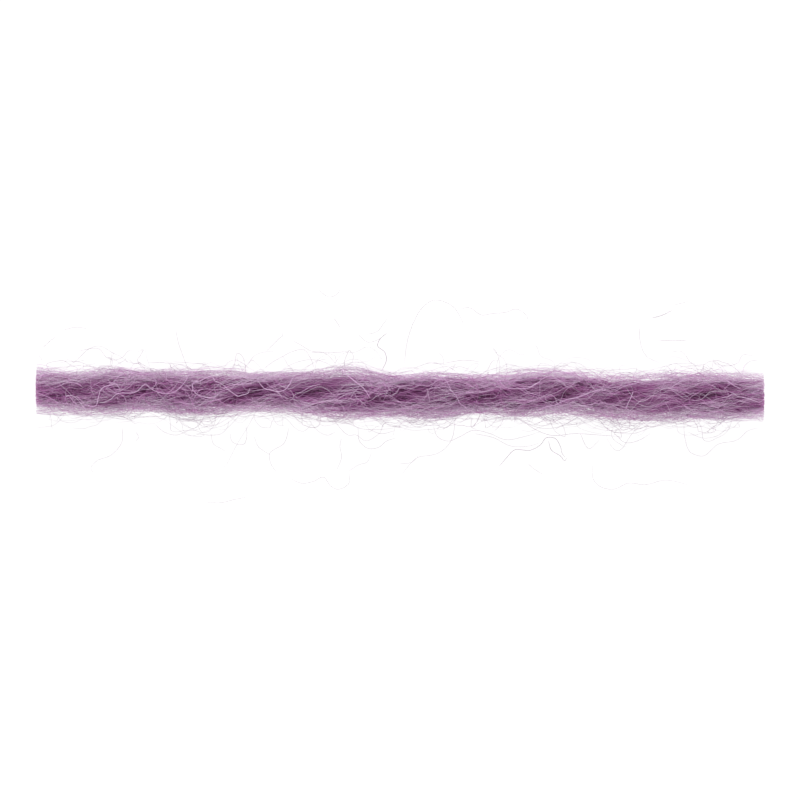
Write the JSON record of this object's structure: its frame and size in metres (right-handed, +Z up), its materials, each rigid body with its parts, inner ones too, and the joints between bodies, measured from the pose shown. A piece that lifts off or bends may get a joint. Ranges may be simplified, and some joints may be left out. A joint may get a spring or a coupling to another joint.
{
  "type": "knitting yarn",
  "caption": "Straight cut length of soft, fuzzy plied wool yarn with a loose twist and plain cut ends, for knitting and crochet work.",
  "frame": {"origin": "middle of the yarn's underside, on the surface that it lies on", "axes": "+X along the yarn, +Y across it, +Z up"},
  "size_m": [0.0486, 0.0034, 0.0031],
  "materials": {
    "mauve_wool": "soft matt wool in mauve, dark between the plies and pale in its loose fuzz"
  },
  "bodies": {
    "root": {"yarn_strand": "mauve_wool"}
  },
  "joints": []
}
